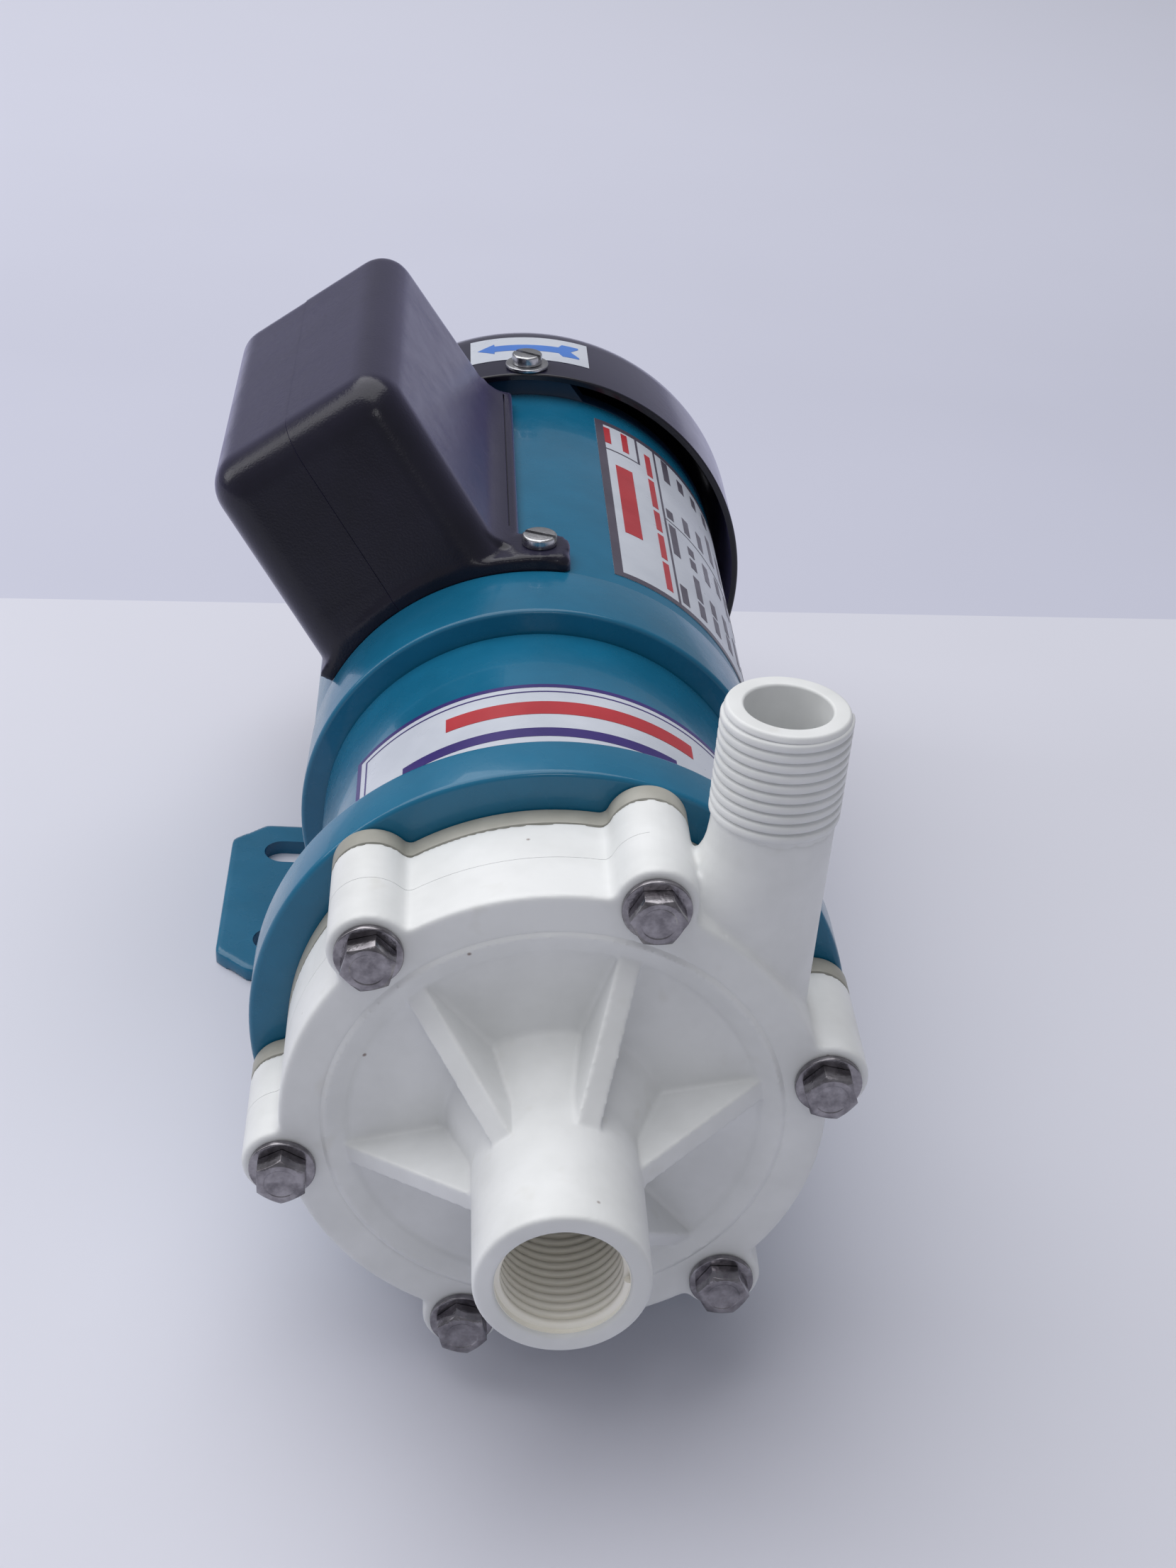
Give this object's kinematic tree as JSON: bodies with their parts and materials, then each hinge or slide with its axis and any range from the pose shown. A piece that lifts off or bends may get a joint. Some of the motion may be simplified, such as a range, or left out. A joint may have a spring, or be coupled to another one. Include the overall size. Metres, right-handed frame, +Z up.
{
  "type": "magnetic drive pump",
  "caption": "Seal-less centrifugal pump with an axial suction port, an upward threaded discharge pipe, a magnetic drive bracket, an enclosed motor on a foot and a tilted terminal box.",
  "frame": {"origin": "centre of the foot's underside, under the shaft", "axes": "+Y along the shaft from the suction port to the fan cover, +Z up, +X to the right seen from the suction side"},
  "size_m": [0.1352, 0.2887, 0.1397],
  "materials": {
    "casing_white": "satin moulded plastic",
    "casing_cream": "satin moulded plastic",
    "teal_enamel": "gloss enamel over a casting",
    "box_black": "satin",
    "cover_black": "gloss",
    "stainless": "bright",
    "bearing_steel": "ground",
    "shaft_steel": "ground",
    "core_steel": "laminated",
    "copper": "varnished wire",
    "magnet": "sintered",
    "ceramic": "polished ceramic",
    "carbon": "carbon",
    "rubber": "matt",
    "impeller_plastic": "moulded",
    "fan_plastic": "moulded",
    "capacitor_white": "moulded"
  },
  "bodies": {
    "pump": {"front_casing": "casing_white", "casing_o_ring": "rubber", "rear_casing": "casing_cream", "mouth_ring": "ceramic", "pump_spindle": "ceramic", "rear_thrust_ring": "ceramic", "casing_bolt_1": "stainless", "casing_bolt_2": "stainless", "casing_bolt_3": "stainless", "casing_bolt_4": "stainless", "casing_bolt_5": "stainless", "casing_bolt_6": "stainless", "casing_washer_1": "stainless", "casing_washer_2": "stainless", "casing_washer_3": "stainless", "casing_washer_4": "stainless", "casing_washer_5": "stainless", "casing_washer_6": "stainless", "lantern_bracket": "teal_enamel", "front_end_shield": "teal_enamel", "rear_end_shield": "teal_enamel", "motor_frame": "teal_enamel", "stator_core": "core_steel", "front_winding": "copper", "rear_winding": "copper", "front_bearing_outer_ring": "bearing_steel", "rear_bearing_outer_ring": "bearing_steel", "fan_cover": "cover_black", "fan_cover_screw_1": "stainless", "fan_cover_screw_2": "stainless", "fan_cover_screw_3": "stainless", "fan_cover_washer_1": "stainless", "fan_cover_washer_2": "stainless", "fan_cover_washer_3": "stainless", "terminal_box_base": "box_black", "terminal_box_lid": "box_black", "box_screw": "stainless", "lid_screw_1": "stainless", "lid_screw_2": "stainless", "terminal_block": "box_black", "run_capacitor": "capacitor_white", "foot": "teal_enamel"},
    "rotor": {"motor_shaft": "shaft_steel", "rotor_core": "core_steel", "front_bearing_inner_ring": "bearing_steel", "rear_bearing_inner_ring": "bearing_steel", "drive_yoke": "core_steel", "drive_magnets": "magnet", "yoke_grub_screw": "stainless", "cooling_fan": "fan_plastic"},
    "impeller": {"impeller": "impeller_plastic", "impeller_magnet": "impeller_plastic", "impeller_bush": "carbon"}
  },
  "joints": [
    {"name": "rotor_spin", "type": "hinge", "parent": "pump", "child": "rotor", "pos_m": [0, 0, 0.06], "axis": [0, 1, 0], "continuous": true},
    {"name": "impeller_spin", "type": "hinge", "parent": "pump", "child": "impeller", "pos_m": [0, 0, 0.06], "axis": [0, 1, 0], "continuous": true}
  ],
  "couplings": [
    {"joint": "impeller_spin", "follows": "rotor_spin", "ratio": 1}
  ]
}
